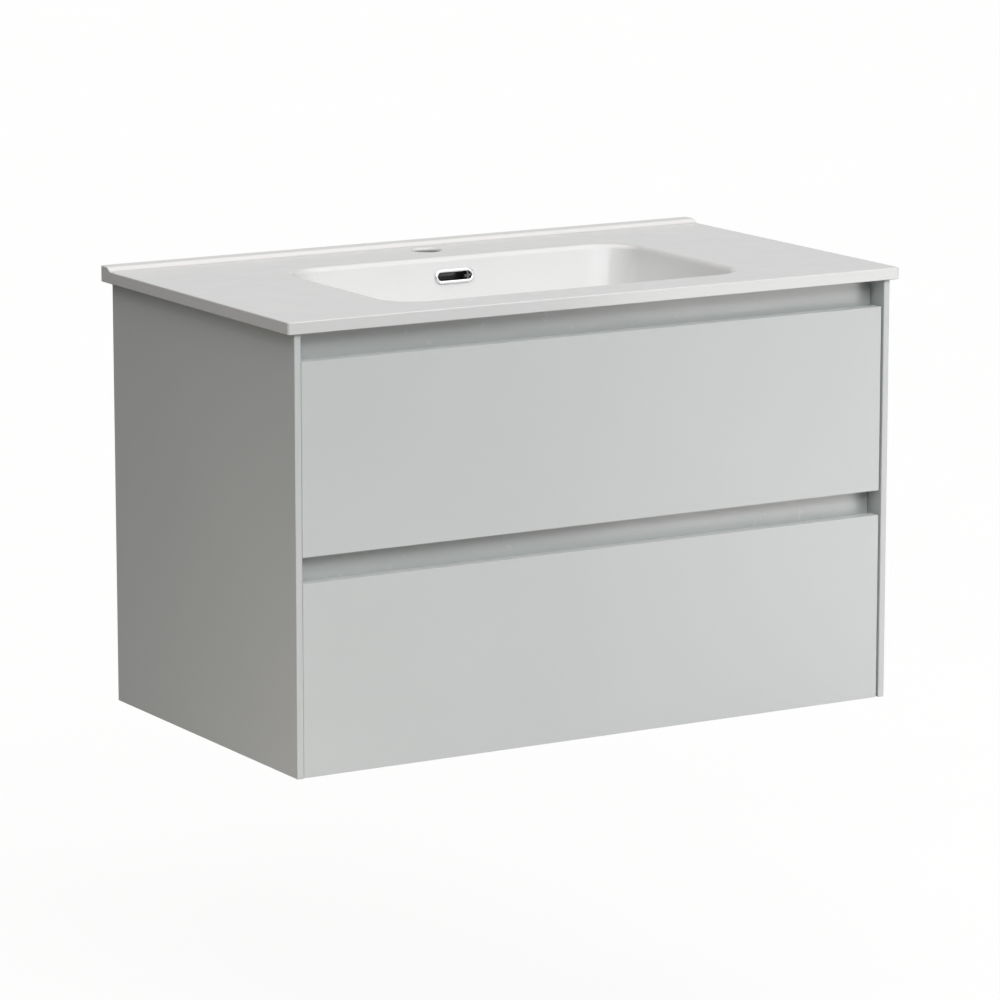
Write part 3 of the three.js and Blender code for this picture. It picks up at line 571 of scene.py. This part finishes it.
def deck_edge(shape, outline):
    """The deck's edge, rounded above and below, and its top and bottom rings of vertices."""

    def ring(inset, level):
        made = []
        for point, outward in outline:
            place = point - outward * inset
            made.append(Vector((place.x, place.y, level(place.y))))
        return made

    rings = []
    for x, z in arc(TOP_FILLET, 90, 0, TOP_FILLET_STEPS):
        rings.append(ring(TOP_FILLET - x, lambda y, z=z: deck_level(y) - TOP_FILLET + z))
    for x, z in arc(BOTTOM_FILLET, 0, -90, BOTTOM_FILLET_STEPS):
        rings.append(ring(BOTTOM_FILLET - x, lambda y, z=z: DECK_UNDERSIDE + BOTTOM_FILLET + z))
    edge = rows(shape, rings)
    return edge[0], edge[-1]


def tap_hole(shape):
    """The hole's wall with its rounded rim, and its top and bottom rings of vertices."""
    rings = []
    for x, z in arc(TAP_HOLE_FILLET, 90, 180, TAP_HOLE_FILLET_STEPS):
        radius = TAP_HOLE_RADIUS + TAP_HOLE_FILLET + x
        level = DECK_TOP - TAP_HOLE_FILLET + z
        circle = arc(radius, 0, 360, TAP_HOLE_SEGMENTS)
        rings.append([Vector((TAP_HOLE.x + a, TAP_HOLE.y + b, level)) for a, b in circle][:-1])
    rings.append([Vector((point.x, point.y, DECK_UNDERSIDE)) for point in rings[-1]])
    hole = rows(shape, rings)
    return hole[0], hole[-1]


def upstand_slope(shape, top, rises):
    """The strips across the basin that rise to the upstand, and their first and last row."""
    strips = []
    for y in rises:
        level = [vertex for vertex in top if abs(vertex.co.y - y) < CLOSE]
        left = min(level, key=lambda vertex: vertex.co.x)
        right = max(level, key=lambda vertex: vertex.co.x)
        row = [left]
        for i in range(1, UPSTAND_POINTS):
            row.append(shape.verts.new(left.co.lerp(right.co, i / UPSTAND_POINTS)))
        strips.append([*row, right])
    for lower, upper in zip(strips, strips[1:]):
        for i in range(len(lower) - 1):
            shape.faces.new((lower[i], lower[i + 1], upper[i + 1], upper[i]))
    return strips[0], strips[-1]


def row_edges(shape, row):
    """The edges along a row of vertices, made where they are missing."""
    edges = []
    for a, b in zip(row, row[1:]):
        edges.append(edge_between(a, b) or shape.edges.new((a, b)))
    return edges


def basin_deck(shape, rim, under_rim):
    """The deck's edges, top, upstand and underside, round the bowl's rings and the tap hole."""
    outline, rises = basin_outline()
    top, bottom = deck_edge(shape, outline)
    hole_top, hole_bottom = tap_hole(shape)
    foot, crest = upstand_slope(shape, top, rises)
    round_top = loops(top)
    front = [edge for edge in round_top if max(v.co.y for v in edge.verts) < rises[0] + CLOSE]
    back = [edge for edge in round_top if min(v.co.y for v in edge.verts) > rises[-1] - CLOSE]
    fill(shape, [*front, *row_edges(shape, foot), *loops(rim), *loops(hole_top)])
    fill(shape, [*back, *row_edges(shape, crest)])
    fill(shape, [*loops(bottom), *loops(under_rim), *loops(hole_bottom)])


def block(low, high):
    """A straight block between two corners, as a mesh to join or cut with."""
    shape = bmesh.new()
    size = Vector(high) - Vector(low)
    centre = (Vector(high) + Vector(low)) / 2
    bmesh.ops.create_cube(shape, size=1, matrix=Matrix.Translation(centre) @ Matrix.Diagonal((*size, 1)))
    mesh = bpy.data.meshes.new("block")
    shape.to_mesh(mesh)
    shape.free()
    return mesh


def stadium(length, height, steps=16):
    """Points round a slot with round ends, in X and Z."""
    half = (length - height) / 2
    for x, z in arc(height / 2, -90, 90, steps):
        yield half + x, z
    for x, z in arc(height / 2, 90, 270, steps):
        yield -half + x, z


def bowl_middle():
    """The bowl out to the middle of its wall, to trim what is joined behind it."""
    shape = bmesh.new()
    levels = [bowl_ring(*level, CERAMIC / 2) for level in bowl_section()]
    above = [Vector((point.x, point.y, DECK_TOP + TRIM_ABOVE)) for point in levels[0]]
    drain = round_the_drain(levels[-1], SEAT_RADIUS, DRAIN_LEVEL - CERAMIC / 2)
    made = rows(shape, [above, *levels, drain])
    shape.faces.new(made[0])
    shape.faces.new(made[-1])
    return to_mesh(shape, "bowl")


def on_back_wall():
    """Where the overflow sits: the bowl's back wall leans back, and so does the ring."""
    rim_inset = RIM_RADIUS * math.cos(WALL_SLOPE)
    rim_end = DECK_TOP - RIM_RADIUS * (1 - math.sin(WALL_SLOPE))
    wall = BOWL_BACK - rim_inset - (rim_end - OVERFLOW_LEVEL) * math.tan(WALL_SLOPE)
    return Matrix.Translation((0, wall, OVERFLOW_LEVEL)) @ Matrix.Rotation(-WALL_SLOPE, 4, "X")


def overflow_bore():
    """The slot through the bowl's back wall into the duct."""
    shape = bmesh.new()
    outline = stadium(RING_OPENING + SLOT_CLEARANCE, RING_OPENING_HEIGHT + SLOT_CLEARANCE)
    slot = [Vector((x, -SLOT_DEPTH / 2, z)) for x, z in outline]
    ends = rows(shape, [slot, [point + Vector((0, SLOT_DEPTH, 0)) for point in slot]])
    for end in ends:
        shape.faces.new(end)
    shape.transform(on_back_wall())
    return to_mesh(shape, "slot")


def add_basin():
    shape = bmesh.new()
    rings = rows(shape, bowl_rings())
    basin_deck(shape, rings[0], rings[-1])
    mesh = to_mesh(shape, "basin")

    duct_side = DUCT_HALF + DUCT_WALL
    duct = block((-duct_side, DUCT_START, BOSS_BOTTOM), (duct_side, DUCT_END, DUCT_TOP))
    mesh = boolean(mesh, boolean(duct, bowl_middle(), "DIFFERENCE"), "UNION")
    for tool in (
        block((-DUCT_HALF, DUCT_FRONT, DUCT_FLOOR), (DUCT_HALF, DUCT_BACK, DUCT_CEILING)),
        block((-DUCT_HALF, DRAIN.y, DUCT_FLOOR), (DUCT_HALF, DUCT_BACK, DUCT_FLOOR + DUCT_RUN_HEIGHT)),
        overflow_bore(),
    ):
        mesh = boolean(mesh, tool, "DIFFERENCE")
    smooth(mesh, BASIN_SHARP)
    weighted(add_piece("basin_glazed", mesh, "carcass", "ceramic", "basin"))


def add_overflow_ring():
    """A rounded chrome frame round the overflow slot, with its sleeve into the ceramic."""
    inset = (RING_HEIGHT - RING_OPENING_HEIGHT) / 2
    section = [(0, 0)]
    for x, y in arc(RING_CROWN, 180, 90, RING_CROWN_STEPS):
        section.append((RING_CROWN + x, -RING_THICKNESS + RING_CROWN - y))
    for x, y in arc(RING_CROWN, 90, 0, RING_CROWN_STEPS):
        section.append((inset - RING_CROWN + x, -RING_THICKNESS + RING_CROWN - y))
    outer = inset - RING_SLEEVE_WALL
    section += [(inset, RING_SLEEVE), (outer, RING_SLEEVE), (outer, 0)]
    shape = bmesh.new()
    rings = []
    for inward, depth in section:
        outline = stadium(RING_LENGTH - 2 * inward, RING_HEIGHT - 2 * inward, RING_END_STEPS)
        rings.append([Vector((x, depth - RING_GAP, z)) for x, z in outline])
    rows(shape, [*rings, rings[0]])
    shape.transform(on_back_wall())
    mesh = to_mesh(shape, "overflow_ring", RING_SHARP)
    weighted(add_piece("overflow_frame", mesh, "carcass", "chrome", "overflow_ring"))


# ---- CAD nodes that stay ---------------------------------------------------------------------------

EDGES = {
    "lacquer": 0.9 * MM,
    "grip_channel": 0.4 * MM,
    "melamine": 0.5 * MM,
    "drawer_steel": 0.25 * MM,
    "zinc": 0.25 * MM,
    "chrome": 0.3 * MM,
    "white_plastic": 0.6 * MM,
    "grey_plastic": 0.6 * MM,
    "rubber": 1.5 * MM,
}


def finish_cad_node(node, slot):
    """Softens the edges of a CAD piece and gives it its finish."""
    node.data.materials.clear()
    node.data.materials.append(MATERIALS[slot])
    weld = node.modifiers.new("weld", "WELD")
    weld.merge_threshold = CLOSE
    bevel = node.modifiers.new("bevel", "BEVEL")
    bevel.width = EDGES[slot]
    bevel.segments = 3
    bevel.limit_method = "ANGLE"
    bevel.angle_limit = math.radians(40)
    bevel.miter_outer = "MITER_ARC"
    weighted(node)


def finish_cad_nodes():
    for part in frame["record"]["subparts"]:
        node = frame["nodes"][part["node"]]
        if not node.hide_render:
            finish_cad_node(node, part["material_slot"])


# ---- Floor, light and camera -----------------------------------------------------------------------

FLOOR_DROP = 0.4  # how far the cabinet hangs above the floor
FLOOR_REACH = 60
FLOOR_GLOW = 0.9  # keeps the floor pale without lighting the cabinet


def add_floor():
    shape = bmesh.new()
    bmesh.ops.create_grid(shape, x_segments=2, y_segments=2, size=FLOOR_REACH)
    mesh = bpy.data.meshes.new("floor")
    shape.to_mesh(mesh)
    shape.free()
    floor = bpy.data.objects.new("floor", mesh)
    floor.location.z = -FLOOR_DROP
    bpy.context.scene.collection.objects.link(floor)
    nodes = Nodes("pale_floor")
    colour = nodes.colours(nodes.noise(1.5, 2), (0.1, 0.1, 0.1), (0.105, 0.105, 0.105))
    nodes.link(colour, nodes.shader.inputs["Base Color"])
    nodes.shader.inputs["Roughness"].default_value = 1
    nodes.shader.inputs["Specular IOR Level"].default_value = 0
    nodes.shader.inputs["Emission Color"].default_value = (1, 1, 1, 1)
    nodes.shader.inputs["Emission Strength"].default_value = FLOOR_GLOW
    mesh.materials.append(nodes.material)
    floor.visible_diffuse = False
    floor.visible_glossy = False


PALE = 0.94  # the backdrop where it shows
SOFT_EDGE = 3  # degrees over which each lit part of the studio fades upwards and downwards
SECTOR_EDGE = 0.05  # half the width of its soft border at the sides, for a direction of length one

# The lit parts of the studio: lowest and highest elevation in degrees, the side of the object that
# they are on, brightness and tint.
STUDIO = (
    (50, 90, None, 1.19, (1.06, 0.99, 0.95)),
    (20, 50, "front", 3.08, (0.985, 1.0, 1.015)),
    (20, 50, "left", 0.2, (1.02, 1.0, 0.97)),
    (0, 20, "back", 0.57, (0.95, 1.02, 1.03)),
    (-30, 0, None, 0.1, (1, 1, 1)),
)


class Studio:
    """The world's node tree: a dim room whose lit parts are chosen by direction."""

    def __init__(self):
        self.world = bpy.data.worlds.new("studio")
        self.world.use_nodes = True
        self.tree = self.world.node_tree
        place = self.tree.nodes.new("ShaderNodeTexCoord")
        parts = self.tree.nodes.new("ShaderNodeSeparateXYZ")
        self.tree.links.new(place.outputs["Generated"], parts.inputs["Vector"])
        across, along, self.up = parts.outputs
        self.facing = {
            "front": self.sector(self.calculate("MULTIPLY", along, -1.0), across),
            "back": self.sector(along, across),
            "left": self.sector(self.calculate("MULTIPLY", across, -1.0), along),
        }

    def calculate(self, operation, *values):
        made = self.tree.nodes.new("ShaderNodeMath")
        made.operation = operation
        for socket, value in zip(made.inputs, values):
            if isinstance(value, (int, float)):
                socket.default_value = value
            else:
                self.tree.links.new(value, socket)
        return made.outputs["Value"]

    def rise(self, value, start, end):
        """Nothing below the start, all above the end, and smooth between them."""
        made = self.tree.nodes.new("ShaderNodeMapRange")
        made.interpolation_type = "SMOOTHSTEP"
        made.inputs["From Min"].default_value = start
        made.inputs["From Max"].default_value = end
        self.tree.links.new(value, made.inputs["Value"])
        return made.outputs["Result"]

    def sector(self, ahead, aside):
        """The quarter of the directions that lie more ahead than aside, with a soft border."""
        lead = self.calculate("SUBTRACT", ahead, self.calculate("ABSOLUTE", aside))
        return self.rise(lead, -SECTOR_EDGE, SECTOR_EDGE)

    def above(self, degrees):
        start = math.sin(math.radians(degrees - SOFT_EDGE / 2))
        return self.rise(self.up, start, start + math.radians(SOFT_EDGE) * math.cos(math.radians(degrees)))

    def lit_part(self, lowest, highest, side, brightness, tint):
        share = self.above(lowest)
        if highest < 90:
            share = self.calculate("MULTIPLY", share, self.calculate("SUBTRACT", 1.0, self.above(highest)))
        if side:
            share = self.calculate("MULTIPLY", share, self.facing[side])
        light = self.tree.nodes.new("ShaderNodeBackground")
        light.inputs["Color"].default_value = (*tint, 1)
        self.tree.links.new(self.calculate("MULTIPLY", share, brightness), light.inputs["Strength"])
        return light.outputs["Background"]

    def together(self, first, second):
        adding = self.tree.nodes.new("ShaderNodeAddShader")
        self.tree.links.new(first, adding.inputs[0])
        self.tree.links.new(second, adding.inputs[1])
        return adding.outputs["Shader"]

    def show_pale(self, light):
        """The light for the object, and an even pale backdrop for the camera."""
        pale = self.tree.nodes["Background"]
        pale.inputs["Color"].default_value = (PALE, PALE, PALE, 1)
        path = self.tree.nodes.new("ShaderNodeLightPath")
        mix = self.tree.nodes.new("ShaderNodeMixShader")
        self.tree.links.new(path.outputs["Is Camera Ray"], mix.inputs["Fac"])
        self.tree.links.new(light, mix.inputs[1])
        self.tree.links.new(pale.outputs["Background"], mix.inputs[2])
        self.tree.links.new(mix.outputs["Shader"], self.tree.nodes["World Output"].inputs["Surface"])


def add_world():
    """A dim room with a soft ceiling and one large soft panel in front, and pale where it shows."""
    studio = Studio()
    first, *others = [studio.lit_part(*part) for part in STUDIO]
    for other in others:
        first = studio.together(first, other)
    studio.show_pale(first)
    bpy.context.scene.world = studio.world


OBJECT_CENTRE = Vector((0, 0, 0.26))


def add_softbox(name, place, width, height, power, tint):
    light = bpy.data.lights.new(name, "AREA")
    light.shape = "RECTANGLE"
    light.size = width
    light.size_y = height
    light.energy = power
    light.color = tint
    box = bpy.data.objects.new(name, light)
    box.location = place
    box.rotation_euler = (OBJECT_CENTRE - Vector(place)).to_track_quat("-Z", "Y").to_euler()
    bpy.context.scene.collection.objects.link(box)


def add_lights():
    add_softbox("overflow_card", (2.0, -3.25, 1.29), 1.8, 1.1, 7, (1.0, 1.0, 1.0))
    add_softbox("low_left_card", (-1.1, -0.6, -0.3), 0.8, 0.5, 3.3, (1.0, 0.92, 0.86))
    add_softbox("right_front_card", (1.2, -1.4, 0.1), 0.8, 0.8, 6.4, (1.0, 0.96, 0.95))


CAMERA_PLACE = (-2.98403, -5.02993, 1.38254)
CAMERA_AZIMUTH = -30.672
CAMERA_ELEVATION = 11.065
CAMERA_LENS = 182.45


def add_camera():
    lens = bpy.data.cameras.new("camera")
    lens.lens = CAMERA_LENS
    lens.sensor_width = 36
    lens.clip_start = 0.1
    lens.clip_end = 200
    camera = bpy.data.objects.new("camera", lens)
    camera.location = CAMERA_PLACE
    tilt = math.radians(90 - CAMERA_ELEVATION)
    camera.rotation_euler = Euler((tilt, 0, math.radians(CAMERA_AZIMUTH)), "XYZ")
    bpy.context.scene.collection.objects.link(camera)
    bpy.context.scene.camera = camera
    bpy.context.scene.view_settings.view_transform = "Standard"


add_camera()
add_world()
add_floor()
add_lights()
add_basin()
add_overflow_ring()
finish_cad_nodes()
